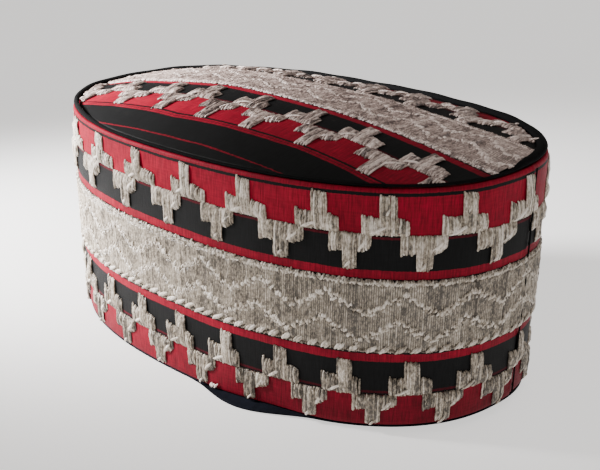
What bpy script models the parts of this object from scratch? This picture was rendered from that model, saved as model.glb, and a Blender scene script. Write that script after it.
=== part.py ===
"""Songkok: a brimless oval cap of striped cloth over stiff card.

Metres, +Z up. The cap's length runs along X and its width along Y.
It stands on its hem on z = 0, centred on the origin, and the wall's seam is at the +X end.
"""

import math

import bmesh
import bpy
import numpy as np

# Oval of the cap, outside, at the rim
CAP_LENGTH = 0.2218
CAP_WIDTH = 0.1238
OVAL_POWER = 2.34  # 2 would be an ellipse, more is squarer

# Wall
WALL_HEIGHT = 0.0892  # from the hem to the rim, in the middle of a long side
WALL_THICKNESS = 0.0020
END_TAPER = 0.0048  # how far each end leans in from rim to hem
SIDE_TAPER = 0.0010  # the same for each long side
WALL_BULGE = 0.0003  # outward swell half way up
RIM_END_RISE = 0.0022  # the rim is this much higher at the seam end than in the middle
RIM_SIDE_RISE = 0.0016  # and this much higher in the middle of the far long side, at +Y
EDGE_ROUNDING = 0.0004  # cut corner of the wall's upper and lower edge

# Hem
SEAM_END_LIFT = 0.0029  # the hem curves up by this much at the seam end
PLAIN_END_LIFT = 0.0020  # and by this much at the other end
ARCH_RISE = 0.0020  # the wall's hem is pulled up here, and more lining shows
ARCH_CENTRE = 0.0390  # along X, on the front long side
ARCH_HALF_LENGTH = 0.0330
FLAT_TO_SEAM_END = 0.35  # the hem is flat up to this share of the half length
FLAT_TO_PLAIN_END = 0.55  # and this share towards the other end
LIFT_POWER = 1.4

# Seam of the wall, where one end of the cloth laps over the other
SEAM_OFFSET = 0.0060  # along the rim from the +X end of the oval
SEAM_STEP = 0.0006
SEAM_EDGE = 0.0005
SEAM_FADE = 0.0160

# Top panel
CROWN_THICKNESS = 0.0015
CROWN_RISE = 0.0112  # from the rim to the middle of the panel
CROWN_FALL = 1.03  # power of the panel's fall to its edge
SKIRT_DEPTH = 0.0040  # edge of the panel that is turned down inside the wall
LIP_ANGLE = math.radians(28)  # where the panel leaves the roll, below level

# Padded roll between wall and top panel
WELT_WIDTH = 0.0044
WELT_HEIGHT = 0.0024

# Lining
LINING_THICKNESS = 0.0010
FOOT_THICKNESS = 0.0006  # edge of the lining that is turned out under the wall
FOOT_SETBACK = 0.0004  # that edge lies this far behind the wall's face
FOOT_ROUNDING = 0.0002

FIT_GAP = 0.0003  # clearance between pieces

# Heights above the lining's lowest edge, which stands on z = 0
HEM_CLEARANCE = FOOT_THICKNESS + FIT_GAP
RIM_HEIGHT = HEM_CLEARANCE + WALL_HEIGHT

# Mesh
COLUMN_COUNT = 104
OUTLINE_STEPS = 2880
WELT_SIDES = 8
LIP_STEPS = 3

# Rows of the wall as shares of its height
WALL_ROWS = (0.25, 0.50, 0.75)

# Rings of the top panel as shares of the way from its middle to its edge
CROWN_RINGS = (0.95, 0.86, 0.72, 0.54, 0.34, 0.14)

# Soft dents of the top panel. along and across: shares of half the length and width.
# reach_along and reach_across: shares of the same. depth: share of the panel's rise.
CROWN_DENTS = (
    {"along": -0.52, "across": -0.42, "reach_along": 0.30, "reach_across": 0.42, "depth": 0.060},
    {"along": 0.30, "across": -0.55, "reach_along": 0.34, "reach_across": 0.34, "depth": 0.045},
    {"along": 0.55, "across": 0.30, "reach_along": 0.36, "reach_across": 0.45, "depth": 0.050},
    {"along": -0.20, "across": 0.58, "reach_along": 0.40, "reach_across": 0.30, "depth": 0.045},
)

# Colours: red, green, blue, roughness
MATERIALS = {
    "side_band": (0.34, 0.015, 0.03, 0.75),
    "crown": (0.30, 0.02, 0.03, 0.75),
    "crown_welt": (0.012, 0.012, 0.014, 0.80),
    "lining": (0.010, 0.014, 0.030, 0.85),
}


def clear_scene():
    for item in list(bpy.data.objects):
        bpy.data.objects.remove(item)


def make_material(name):
    red, green, blue, roughness = MATERIALS[name]
    material = bpy.data.materials.new(name)
    material.use_nodes = True
    shader = material.node_tree.nodes["Principled BSDF"]
    shader.inputs["Base Color"].default_value = (red, green, blue, 1.0)
    shader.inputs["Roughness"].default_value = roughness
    shader.inputs["Metallic"].default_value = 0.0
    material.diffuse_color = (red, green, blue, 1.0)
    return material


def add_object(name, mesh_data, parent):
    """Turn a bmesh into a named object with its own material."""
    mesh = bpy.data.meshes.new(name)
    mesh_data.to_mesh(mesh)
    mesh_data.free()
    mesh.shade_smooth()
    mesh.set_sharp_from_angle(angle=math.radians(40))
    item = bpy.data.objects.new(name, mesh)
    item.data.materials.append(make_material(name))
    item.parent = parent
    bpy.context.scene.collection.objects.link(item)
    return item


def oval_shares(angle):
    """Point of the unit oval: shares of half the length and of half the width."""
    cosine = math.cos(angle)
    sine = math.sin(angle)
    power = 2.0 / OVAL_POWER
    along = math.copysign(abs(cosine) ** power, cosine)
    across = math.copysign(abs(sine) ** power, sine)
    return along, across


def oval_normal(angle, half_length, half_width):
    """Outward direction of the oval in plan."""
    along, across = oval_shares(angle)
    power = OVAL_POWER - 1.0
    normal_x = math.copysign(abs(along) ** power, along) / half_length
    normal_y = math.copysign(abs(across) ** power, across) / half_width
    length = math.hypot(normal_x, normal_y)
    return normal_x / length, normal_y / length


def end_lift(along):
    """Height of the hem's underside: flat along the middle, curved up to both ends."""
    if along > 0:
        lift, flat = SEAM_END_LIFT, FLAT_TO_SEAM_END
    else:
        lift, flat = PLAIN_END_LIFT, FLAT_TO_PLAIN_END
    past_flat = max(0.0, abs(along) - flat) / (1.0 - flat)
    return lift * past_flat ** LIFT_POWER


def hem_arch(along, across):
    """Extra height of the wall's hem at the front."""
    offset = (along * CAP_LENGTH / 2 - ARCH_CENTRE) / ARCH_HALF_LENGTH
    if across >= 0 or abs(offset) >= 1:
        return 0.0
    return ARCH_RISE * math.cos(offset * math.pi / 2) ** 2


class Column:
    """One upright section of the cap, at a place on the oval."""

    def __init__(self, angle, recess):
        self.angle = angle
        self.recess = recess
        self.along, self.across = oval_shares(angle)
        self.foot = end_lift(self.along)
        self.hem = self.foot + HEM_CLEARANCE + hem_arch(self.along, self.across)
        rim_rise = RIM_END_RISE * self.along + RIM_SIDE_RISE * self.across
        self.rim = RIM_HEIGHT + rim_rise

    def at(self, inset, height):
        """Point at a distance behind the wall's face, square to it in plan."""
        share = (height - self.hem) / (self.rim - self.hem)
        share = min(1.0, max(0.0, share))
        swell = 4 * WALL_BULGE * share * (1 - share)
        half_length = CAP_LENGTH / 2 - END_TAPER * (1 - share) + swell
        half_width = CAP_WIDTH / 2 - SIDE_TAPER * (1 - share) + swell
        normal_x, normal_y = oval_normal(self.angle, half_length, half_width)
        x = self.along * half_length - inset * normal_x
        y = self.across * half_width - inset * normal_y
        return x, y, height


def seam_recess(distance):
    """Depth of the wall's face just past the seam, where the under layer of cloth begins."""
    if distance < 0 or distance > SEAM_FADE:
        return 0.0
    return SEAM_STEP * (1 - distance / SEAM_FADE)


def make_columns():
    """Columns at equal steps along the rim, counter-clockwise from the seam."""
    angles = np.linspace(0.0, 2 * math.pi, OUTLINE_STEPS + 1)
    half = np.array((CAP_LENGTH / 2, CAP_WIDTH / 2))
    points = np.array([oval_shares(angle) for angle in angles]) * half
    steps = np.linalg.norm(np.diff(points, axis=0), axis=1)
    travelled = np.concatenate(([0.0], np.cumsum(steps)))
    around = travelled[-1]

    distances = [around * index / COLUMN_COUNT for index in range(COLUMN_COUNT)]
    distances.append(around - SEAM_EDGE)
    columns = []
    for distance in distances:
        place = (SEAM_OFFSET + distance) % around
        angle = float(np.interp(place, travelled, angles))
        columns.append(Column(angle, seam_recess(distance)))
    return columns


def loft_ring(columns, section):
    """Closed tube through the sections. A section runs up the outer side and down the inner."""
    body = bmesh.new()
    loops = []
    for column in columns:
        loops.append([body.verts.new(column.at(inset, height)) for inset, height in section(column)])
    for index, loop in enumerate(loops):
        following = loops[(index + 1) % len(loops)]
        for row, corner in enumerate(loop):
            upper = (row + 1) % len(loop)
            body.faces.new((corner, following[row], following[upper], loop[upper]))
    return body


def wall_rows(column):
    """Heights between the wall's two cut corners."""
    height = column.rim - column.hem
    return [column.hem + share * height for share in WALL_ROWS]


def side_band_section(column):
    cut = min(EDGE_ROUNDING, WALL_THICKNESS / 3)
    inner = WALL_THICKNESS
    outer = column.recess
    section = [(outer + cut, column.hem), (outer, column.hem + cut)]
    section += [(outer, height) for height in wall_rows(column)]
    section += [(outer, column.rim - cut), (outer + cut, column.rim)]
    section += [(inner - cut, column.rim), (inner, column.rim - cut)]
    section += [(inner, height) for height in reversed(wall_rows(column))]
    section += [(inner, column.hem + cut), (inner - cut, column.hem)]
    return section


def welt_centre(column):
    """Middle of the roll, over the joint between wall and top panel."""
    return WALL_THICKNESS + FIT_GAP / 2, column.rim + FIT_GAP + WELT_HEIGHT / 2


def around_welt(column, angle, distance):
    """Point outside the roll's surface. Angle 0 is the inner side, and a quarter turn is the top."""
    inset, height = welt_centre(column)
    inset += (WELT_WIDTH / 2 + distance) * math.cos(angle)
    height += (WELT_HEIGHT / 2 + distance) * math.sin(angle)
    return inset, height


def crown_welt_section(column):
    section = []
    for side in range(WELT_SIDES):
        angle = math.pi + 2 * math.pi * (side + 0.5) / WELT_SIDES
        section.append(around_welt(column, -angle, 0.0))
    return section


def lip_points(column, distance, skirt_inset):
    """Panel's edge where it follows the roll, from the skirt to the place where it leaves it."""
    reach = WELT_WIDTH / 2 + distance
    offset = skirt_inset - welt_centre(column)[0]
    angles = np.linspace(-math.acos(offset / reach), -LIP_ANGLE, LIP_STEPS)
    return [around_welt(column, float(angle), distance) for angle in angles]


def crown_fall(share):
    """Height of the panel as a share of its rise, at a share of the way out."""
    return (1 - share ** OVAL_POWER) ** CROWN_FALL


def crown_dent(x, y):
    """Depth of the soft dents at a place on the panel."""
    depth = 0.0
    for dent in CROWN_DENTS:
        along = (x / (CAP_LENGTH / 2) - dent["along"]) / dent["reach_along"]
        across = (y / (CAP_WIDTH / 2) - dent["across"]) / dent["reach_across"]
        away = along ** 2 + across ** 2
        if away < 1:
            depth += dent["depth"] * CROWN_RISE * (1 - away) ** 2
    return depth


def crown_side(column, distance, skirt_inset, thickness):
    """One face of the panel: skirt, lip and rings, from the skirt's lower edge inwards."""
    lower_edge = column.rim - SKIRT_DEPTH
    lip = lip_points(column, distance, skirt_inset)
    line = [column.at(skirt_inset, lower_edge)]
    line += [column.at(inset, height) for inset, height in lip]
    edge_x, edge_y, edge_height = line[-1]
    middle_height = RIM_HEIGHT + CROWN_RISE - thickness
    for share in CROWN_RINGS:
        x = edge_x * share
        y = edge_y * share
        height = edge_height + (middle_height - edge_height) * crown_fall(share)
        line.append((x, y, height - crown_dent(x, y)))
    return line, middle_height


def crown_body(columns):
    """Domed panel with its edge turned down, made of an upper and an under face."""
    body = bmesh.new()
    outer_inset = WALL_THICKNESS + FIT_GAP
    upper_loops = []
    under_loops = []
    for column in columns:
        line, upper_height = crown_side(column, FIT_GAP, outer_inset, 0.0)
        upper_loops.append([body.verts.new(point) for point in line])
        inner_distance = FIT_GAP + CROWN_THICKNESS
        inner_inset = outer_inset + CROWN_THICKNESS
        line, under_height = crown_side(column, inner_distance, inner_inset, CROWN_THICKNESS)
        under_loops.append([body.verts.new(point) for point in line])
    dip = crown_dent(0.0, 0.0)
    upper_middle = body.verts.new((0.0, 0.0, upper_height - dip))
    under_middle = body.verts.new((0.0, 0.0, under_height - dip))
    count = len(columns)
    for index in range(count):
        upper = upper_loops[index]
        upper_next = upper_loops[(index + 1) % count]
        under = under_loops[index]
        under_next = under_loops[(index + 1) % count]
        for row in range(len(upper) - 1):
            body.faces.new((upper[row], upper_next[row], upper_next[row + 1], upper[row + 1]))
            body.faces.new((under[row], under[row + 1], under_next[row + 1], under_next[row]))
        body.faces.new((upper[-1], upper_next[-1], upper_middle))
        body.faces.new((under[-1], under_middle, under_next[-1]))
        body.faces.new((under[0], under_next[0], upper_next[0], upper[0]))
    return body


def lining_section(column):
    """Upright band behind the wall, with its lower edge turned out under the wall's hem."""
    outer = WALL_THICKNESS + FIT_GAP
    inner = outer + LINING_THICKNESS
    seat = column.hem - FIT_GAP
    top = column.rim - SKIRT_DEPTH - FIT_GAP
    cut = min(FOOT_ROUNDING, (seat - column.foot) / 2)
    rows = [height for height in wall_rows(column) if height < top]
    section = [(FOOT_SETBACK + cut, column.foot), (FOOT_SETBACK, column.foot + cut)]
    section += [(FOOT_SETBACK, seat), (outer, seat)]
    section += [(outer, height) for height in rows]
    section += [(outer, top), (inner, top)]
    section += [(inner, height) for height in reversed(rows)]
    section += [(inner, column.foot + cut), (inner - cut, column.foot)]
    return section


def main():
    clear_scene()
    columns = make_columns()
    cap = bpy.data.objects.new("songkok", None)
    bpy.context.scene.collection.objects.link(cap)
    add_object("side_band", loft_ring(columns, side_band_section), cap)
    add_object("crown", crown_body(columns), cap)
    add_object("crown_welt", loft_ring(columns, crown_welt_section), cap)
    add_object("lining", loft_ring(columns, lining_section), cap)


main()
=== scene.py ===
"""Songkok: the looks of a striped oval cap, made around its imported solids.

Metres, +Z up. The cap's length runs along X, and the wall's seam is at the +X end.
A place on the cloth is three values. On the wall they are the way along the rim, counter-clockwise
from the +X end, the height on the cloth above the hem, and the height of a thread above the cloth.
On the top panel they are x, the place across the stripes, and the height above the cloth.
"""

import math

import bpy
import numpy as np
from mathutils import Matrix, Vector


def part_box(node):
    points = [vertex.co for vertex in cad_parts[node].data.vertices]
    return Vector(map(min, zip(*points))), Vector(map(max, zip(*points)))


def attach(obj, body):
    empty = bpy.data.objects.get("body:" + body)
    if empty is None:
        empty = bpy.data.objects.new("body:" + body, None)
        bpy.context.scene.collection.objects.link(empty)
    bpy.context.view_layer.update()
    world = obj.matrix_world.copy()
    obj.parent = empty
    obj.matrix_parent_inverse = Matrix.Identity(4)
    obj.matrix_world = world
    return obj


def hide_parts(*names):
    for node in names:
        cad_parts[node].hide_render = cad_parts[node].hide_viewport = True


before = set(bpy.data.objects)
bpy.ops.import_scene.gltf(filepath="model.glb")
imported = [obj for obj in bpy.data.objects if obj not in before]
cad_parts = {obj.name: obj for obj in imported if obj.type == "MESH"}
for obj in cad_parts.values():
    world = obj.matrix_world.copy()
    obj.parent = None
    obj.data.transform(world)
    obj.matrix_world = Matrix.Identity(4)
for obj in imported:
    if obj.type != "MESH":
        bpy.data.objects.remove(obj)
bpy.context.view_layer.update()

MM = 0.001

# Sizes of the solids
wall_low, wall_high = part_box("side_band")
dome_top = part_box("crown")[1].z
HALF_LENGTH = (wall_high.x - wall_low.x) / 2
HALF_WIDTH = (wall_high.y - wall_low.y) / 2
HEM_CLEARANCE = wall_low.z

# Oval and wall
OVAL_POWER = 2.34
WALL_HEIGHT = 89.2 * MM
WALL_THICKNESS = 2.0 * MM
END_TAPER = 4.8 * MM
SIDE_TAPER = 1.0 * MM
WALL_BULGE = 0.3 * MM
RIM_END_RISE = 2.2 * MM
RIM_SIDE_RISE = 1.6 * MM
LEVEL_TO = 72.0 * MM  # stripes above this height follow the rim's slope

# Hem
SEAM_END_LIFT = 2.9 * MM
PLAIN_END_LIFT = 2.0 * MM
ARCH_RISE = 1.3 * MM
ARCH_CENTRE = 50.0 * MM
ARCH_HALF_LENGTH = 30.0 * MM
FLAT_TO_SEAM_END = 0.35
FLAT_TO_PLAIN_END = 0.55
LIFT_POWER = 1.4

LINING_FLARE = 6.0 * MM  # how far the lining's foot leans out under the near wall
FLARE_CENTRE = 38.0 * MM
FLARE_HALF_LENGTH = 32.0 * MM

# Seam
SEAM_AT = 11.5 * MM
SEAM_STEP = 0.6 * MM
SEAM_FADE = 16.0 * MM

# Roll and top panel
ROLL_WIDTH = 4.4 * MM
ROLL_HEIGHT = 2.4 * MM
FIT_GAP = 0.3 * MM
PANEL_INSET = 4.36 * MM
PANEL_SHIFT = 1.1 * MM  # towards the near side, and as much is added to the panel's half width
PANEL_PULL = 2.1 * MM  # how far its cloth is pulled over the roll, short of the seam
PULL_FROM = 55.0 * MM
PULL_LENGTH = 50.0 * MM
PULL_BESIDE = 9.0 * MM
ROLL_OUTER = 0.4 * MM  # from the wall's outer face to the roll
FLAT_ROLL_FROM = -222.0 * MM  # the roll is flatter between these two ways along the rim
FLAT_ROLL_TO = 4.0 * MM
PANEL_EDGE = 0.8 * MM  # height of the panel's edge above the rim
PANEL_FALL = 1.03
PANEL_THICKNESS = 1.5 * MM
LINING_THICKNESS = 1.0 * MM

# Soft dents of the top panel, in shares of half the length and width, and depth in metres
PANEL_DENTS = (
    {"along": -0.52, "across": -0.42, "reach_along": 0.30, "reach_across": 0.42, "depth": 0.7 * MM},
    {"along": 0.30, "across": -0.55, "reach_along": 0.34, "reach_across": 0.34, "depth": 0.5 * MM},
    {"along": 0.55, "across": 0.30, "reach_along": 0.36, "reach_across": 0.45, "depth": 0.6 * MM},
    {"along": -0.20, "across": 0.58, "reach_along": 0.40, "reach_across": 0.30, "depth": 0.5 * MM},
)

# Silver band: lower and upper edge on the wall, near and far edge on the top panel
WALL_SILVER = (28.9 * MM, 56.7 * MM)
PANEL_SILVER = (-9.0 * MM, 18.3 * MM)
PANEL_SILVER_OVERLAP = 2.3 * MM  # how far the threads reach over the far red line

# Stripes: where each one ends, in millimetres from the silver band's edge
# The first stripe, 0.25 mm of black at the silver band's edge, is partly black cloth and partly painted
# shadow of the band.
INNER_STRIPES = ((0.25, "black"), (3.30, "line_red"), (14.8, "black"), (15.9, "dull_red"), (16.6, "black"))
WALL_STRIPES = INNER_STRIPES + ((29.6, "red"), (30.9, "black"), (44.5, "line_red"))
PANEL_STRIPES = INNER_STRIPES + (
    (29.4, "red"), (30.3, "black"), (31.3, "line_red"), (31.6, "black"),
    (32.7, "line_red"), (44.6, "black"), (45.4, "thin_red"),
)
STRIPE_SPAN = 60.0  # length of the stripes' colour ramp, in millimetres

COLOURS = {
    "red": (0.275, 0.0030, 0.020),
    "line_red": (0.250, 0.0035, 0.019),
    "dull_red": (0.080, 0.003, 0.009),
    "thin_red": (0.170, 0.004, 0.014),
    "black": (0.0058, 0.0060, 0.0064),
    "welt": (0.0034, 0.0035, 0.0038),
    "navy": (0.0036, 0.0046, 0.0085),
}
WALL_SILVER_TONES = (
    (0.00, (0.080, 0.064, 0.048)), (0.45, (0.490, 0.412, 0.318)), (1.00, (0.955, 0.875, 0.785)),
)
PANEL_SILVER_TONES = (
    (0.00, (0.095, 0.066, 0.060)), (0.45, (0.480, 0.368, 0.325)), (1.00, (0.955, 0.825, 0.760)),
)

# Painted light and shade across the cloth: the axis (0 along, 1 up or across), two places in millimetres, and
# the value at each. The cloth's colour is multiplied by the value, and the threads' tone has it added. The
# wall's cloth is painted darker towards the hem and the panel's cloth darker towards +x; the wall's threads
# are painted darker near the hem and lighter towards the rim, and the panel's threads lighter at both ends,
# most at the +x end.
WALL_CLOTH_PAINTED_SHADE = ((1, 2.0, 28.0, 0.50, 1.0),)
PANEL_CLOTH_PAINTED_SHADE = ((0, -12.0, 30.0, 1.0, 0.72),)
WALL_THREAD_PAINTED_LIGHT = ((1, 2.0, 26.0, -0.20, 0.0), (1, 58.0, 72.0, 0.0, 0.17))
PANEL_THREAD_PAINTED_LIGHT = ((0, -60.0, -20.0, 0.06, -0.06), (0, 40.0, 85.0, 0.0, 0.22))

# Stepped motifs: how far each part reaches from the silver band, in millimetres
INNER_MOTIF = {"base": 16.8, "shoulder": 9.7, "tip": 3.5}
OUTER_MOTIF = {"base": 16.5, "shoulder": 22.8, "tip": 30.4}
COLUMN_HALF = 2.75 * MM  # half width of a motif's narrow part
MOTIF_LOFT = 0.70 * MM  # how far a block's middle stands above its sides

# Uneven corners of the motifs, in millimetres, and their bright stitches. A stitch has the side that it
# starts from, the shift and rise of its start and of its end, and its width. A rise is from the motif's base.
UPRIGHT = {
    "lean": -0.05, "column_ear": 0.7, "column_fall": 0.5, "left_ear": 0.9, "right_fall": 1.1,
    "stitches": (("left", 1.8, 0.3, -0.6, 3.6, 0.66), ("middle", -1.4, 7.0, 0.2, 10.2, 0.42)),
}
INVERTED = {
    "lean": 0.02, "column_ear": 0.2, "column_fall": 0.8, "left_ear": 0.7, "right_fall": 2.2,
    "stitches": (("right", -0.5, 1.4, 2.4, 6.2, 0.62), ("middle", 1.3, 9.4, -1.2, 12.4, 0.52)),
}

# Motifs that were measured: the middle of each, and its reach to the left and right, in millimetres
WALL_UPPER_OUTER = (
    (-189.7, 7.8, 9.8), (-161.4, 8.0, 10.3), (-131.9, 8.1, 9.6), (-102.8, 8.1, 9.4),
    (-72.1, 8.9, 6.8), (-48.0, 8.6, 6.8), (-20.6, 9.1, 7.2), (8.0, 10.3, 7.5),
)
WALL_UPPER_INNER = (
    (-170.9, 8.0, 7.5), (-143.0, 9.2, 7.1), (-115.9, 8.1, 7.5), (-87.2, 8.8, 8.8),
    (-60.9, 7.1, 7.0), (-35.9, 7.7, 7.6), (-8.4, 8.3, 9.3),
)
WALL_LOWER_INNER = (
    (-187.5, 7.8, 7.2), (-162.5, 8.0, 7.2), (-137.5, 8.8, 6.6), (-111.9, 9.4, 5.9),
    (-86.3, 7.8, 7.2), (-60.8, 8.3, 5.4), (-36.4, 8.0, 6.7), (-11.8, 7.9, 7.4),
)
WALL_LOWER_OUTER = (
    (-177.5, 7.5, 7.5), (-152.3, 6.6, 8.1), (-126.6, 7.5, 7.5), (-100.9, 6.6, 8.4),
    (-74.4, 7.2, 6.6), (-50.0, 7.5, 7.8), (-25.1, 7.1, 7.6), (1.1, 8.9, 7.6),
)
PANEL_INNER = (
    (-47.5, 8.5, 7.5), (-25.0, 7.5, 7.0), (2.4, 8.0, 6.8), (31.2, 9.3, 5.2),
    (58.3, 8.5, 10.0), (87.9, 8.0, 9.5),
)
PANEL_OUTER = (
    (-60.8, 7.8, 8.0), (-33.8, 8.0, 8.0), (-8.6, 8.0, 7.5), (15.2, 8.4, 8.7),
    (43.7, 9.2, 9.2), (75.6, 10.4, 8.4),
)
PANEL_FAR_INNER = (
    (-4.2, 8.2, 8.0), (18.3, 8.4, 8.0), (41.3, 8.4, 8.2), (66.3, 8.6, 8.2),
    (90.5, 8.2, 8.0),
)
PANEL_FAR_OUTER = (
    (7.0, 8.0, 8.0), (29.8, 8.2, 8.0), (53.8, 8.4, 8.2), (78.4, 8.2, 8.2),
)

# Waves of the top panel's stripes: how far each line strays, in millimetres, at places along x
SWAY_PLACES = (-60.0, -20.0, 10.0, 45.0, 90.0)
SWAY_LINES = (
    {"across": -54.7, "stray": (0.0, 0.0, 0.3, -0.6, -1.2)},
    {"across": -42.0, "stray": (0.0, -1.8, 0.4, 1.4, -1.6)},
    {"across": -9.0, "stray": (-2.8, 0.8, 0.4, 0.2, -1.4)},
    {"across": 18.3, "stray": (-3.2, -3.6, -2.4, 0.2, 0.6)},
    {"across": 55.0, "stray": (0.0, 0.0, 0.0, 0.0, 0.0)},
)

REGULAR_REACH = (8.0, 7.6)  # reach of the motifs that the photo hides, on the wall
PANEL_END_REACH = (8.0, 7.8)  # and on the top panel
UPPER_CLOSENESS = 0.9925  # the wall's upper motifs are this much shorter than the lower ones

HEM_KNOT = (-119.6, 1.0)  # way and height of the knot, in millimetres

# Zigzag ridges of the silver band: peaks that were measured, in millimetres along the rim
ZIGZAG_PERIOD = 27.0
ZIGZAG_PEAKS = (-181.0, -153.5, -126.0, -97.5, -70.3, -43.3, -19.0, 8.5)
ZIGZAG_STEPS = 5  # stairs from a peak to a trough
WALL_ZIGZAGS = ((33.4, 41.0), (43.2, 51.2))  # lowest and highest line of each, above the hem
PANEL_ZIGZAGS = ((-3.0, 4.5), (7.0, 14.5))

THREAD_PITCH = 0.80 * MM
MOTIF_PITCH = 0.66 * MM

# Camera: where it stands, where it looks, and its lens
CAMERA_TURN = math.radians(45.893)
CAMERA_ABOVE = math.radians(19.681)
CAMERA_ROLL = math.radians(0.074)
CAMERA_DISTANCE = 763.35 * MM
CAMERA_TARGET = Vector((-158.38, 158.59, -38.72)) * MM
CAMERA_LENS = 77.29
SENSOR_WIDTH = 36.0

rng = np.random.default_rng(7)


# Oval

def oval_shares(angle):
    cosine = np.cos(angle)
    sine = np.sin(angle)
    power = 2.0 / OVAL_POWER
    return np.sign(cosine) * np.abs(cosine) ** power, np.sign(sine) * np.abs(sine) ** power


def oval_normal(along, across, half_length, half_width):
    normal_x = np.sign(along) * np.abs(along) ** (OVAL_POWER - 1) / half_length
    normal_y = np.sign(across) * np.abs(across) ** (OVAL_POWER - 1) / half_width
    length = np.hypot(normal_x, normal_y)
    return normal_x / length, normal_y / length


def rim_table():
    """Angles and the way along the rim that each one lies at."""
    angles = np.linspace(0.0, 2 * math.pi, 7201)
    along, across = oval_shares(angles)
    steps = np.hypot(np.diff(along * HALF_LENGTH), np.diff(across * HALF_WIDTH))
    return angles, np.concatenate(([0.0], np.cumsum(steps)))


RIM_ANGLES, RIM_WAYS = rim_table()
AROUND = RIM_WAYS[-1]


def shares_at(way):
    return oval_shares(np.interp(np.mod(way, AROUND), RIM_WAYS, RIM_ANGLES))


# Wall

def hem_heights(along, across):
    """Height of the lining's foot and of the wall's hem."""
    past_seam_flat = np.clip(along - FLAT_TO_SEAM_END, 0, 1) / (1 - FLAT_TO_SEAM_END)
    past_plain_flat = np.clip(-along - FLAT_TO_PLAIN_END, 0, 1) / (1 - FLAT_TO_PLAIN_END)
    lift = SEAM_END_LIFT * past_seam_flat ** LIFT_POWER + PLAIN_END_LIFT * past_plain_flat ** LIFT_POWER
    offset = (along * HALF_LENGTH - ARCH_CENTRE) / ARCH_HALF_LENGTH
    inside = (across < 0) & (np.abs(offset) < 1)
    arch = np.where(inside, ARCH_RISE * np.cos(np.clip(offset, -1, 1) * math.pi / 2) ** 2, 0.0)
    return lift, arch


def rim_above_hem(along, across):
    return WALL_HEIGHT + RIM_END_RISE * along + RIM_SIDE_RISE * across


def plan_size(share):
    """Half the wall's length and width at a share of the way from its hem to its rim."""
    share = np.clip(share, 0, 1)
    swell = 4 * WALL_BULGE * share * (1 - share)
    return HALF_LENGTH - END_TAPER * (1 - share) + swell, HALF_WIDTH - SIDE_TAPER * (1 - share) + swell


def wall_shape(way, up):
    """Plan size and height of the wall at places on its cloth."""
    along, across = shares_at(way)
    lift, arch = hem_heights(along, across)
    rim = rim_above_hem(along, across)
    share_above = np.clip((up - LEVEL_TO) / (WALL_HEIGHT - LEVEL_TO), 0, None)
    level = np.where(up <= LEVEL_TO, up, LEVEL_TO + share_above * (rim - LEVEL_TO))
    left = np.clip(1 - up / WALL_HEIGHT, 0, 1)
    z = HEM_CLEARANCE + level + lift * left + arch * left ** 3
    hem = HEM_CLEARANCE + lift + arch
    half_length, half_width = plan_size((z - hem) / (HEM_CLEARANCE + rim - hem))
    return along, across, half_length, half_width, z


def on_wall(places):
    """Points in space for places on the wall's cloth."""
    way, up, out = places[..., 0], places[..., 1], places[..., 2]
    along, across, half_length, half_width, z = wall_shape(way, up)
    normal_x, normal_y = oval_normal(along, across, half_length, half_width)
    past_seam = np.mod(way - SEAM_AT, AROUND)
    recess = np.where(past_seam < SEAM_FADE, SEAM_STEP * (1 - past_seam / SEAM_FADE), 0.0)
    proud = out - recess
    return np.stack((along * half_length + normal_x * proud, across * half_width + normal_y * proud, z), -1)


# Top panel

PANEL_HALF_LENGTH = HALF_LENGTH - PANEL_INSET
PANEL_HALF_WIDTH = HALF_WIDTH - PANEL_INSET + PANEL_SHIFT


def panel_share(x, y):
    """0 in the middle of the panel and 1 at its edge."""
    along = np.abs(x / PANEL_HALF_LENGTH)
    across = np.abs((y + PANEL_SHIFT) / PANEL_HALF_WIDTH)
    return (along ** OVAL_POWER + across ** OVAL_POWER) ** (1 / OVAL_POWER)


def panel_height(x, y):
    share = np.maximum(panel_share(x, y), 1e-6)
    along = x / PANEL_HALF_LENGTH / share
    across = (y + PANEL_SHIFT) / PANEL_HALF_WIDTH / share
    edge = HEM_CLEARANCE + rim_above_hem(along, across) + PANEL_EDGE
    fall = np.clip(1 - share ** OVAL_POWER, 0, 1) ** PANEL_FALL
    z = edge + (dome_top - edge) * fall
    for dent in PANEL_DENTS:
        off_along = (x / HALF_LENGTH - dent["along"]) / dent["reach_along"]
        off_across = (y / HALF_WIDTH - dent["across"]) / dent["reach_across"]
        away = np.clip(off_along ** 2 + off_across ** 2, 0, 1)
        z = z - dent["depth"] * (1 - away) ** 2
    return z


def sway(x, q):
    """How far the stripe at q strays across the panel, at x."""
    lines = [np.interp(x, np.array(SWAY_PLACES) * MM, np.array(line["stray"]) * MM) for line in SWAY_LINES]
    strayed = np.zeros(np.broadcast(x, q).shape)
    places = [line["across"] * MM for line in SWAY_LINES]
    for index in range(len(places) - 1):
        low, high = places[index], places[index + 1]
        inside = (q >= low) & (q < high)
        share = np.clip((q - low) / (high - low), 0, 1)
        strayed = np.where(inside, lines[index] * (1 - share) + lines[index + 1] * share, strayed)
    return strayed


def seam_end_pull(x, y):
    """How far the panel's cloth is pulled over the roll at the seam's end, short of the seam."""
    beside = np.clip((PULL_BESIDE - y) / PULL_BESIDE, 0, 1)
    return PANEL_PULL * beside * np.clip((x - PULL_FROM) / PULL_LENGTH, 0, 1) ** 1.5


def on_panel(places):
    """Points in space for places on the top panel's cloth."""
    x, q, out = places[..., 0], places[..., 1], places[..., 2]
    y = q + sway(x, q)
    step = 0.5 * MM
    z = panel_height(x, y)
    slope_x = (panel_height(x + step, y) - z) / step
    slope_y = (panel_height(x, y + step) - z) / step
    length = np.sqrt(1 + slope_x ** 2 + slope_y ** 2)
    x_out = x + seam_end_pull(x, y) - slope_x / length * out
    return np.stack((x_out, y - slope_y / length * out, z + out / length), -1)


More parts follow.
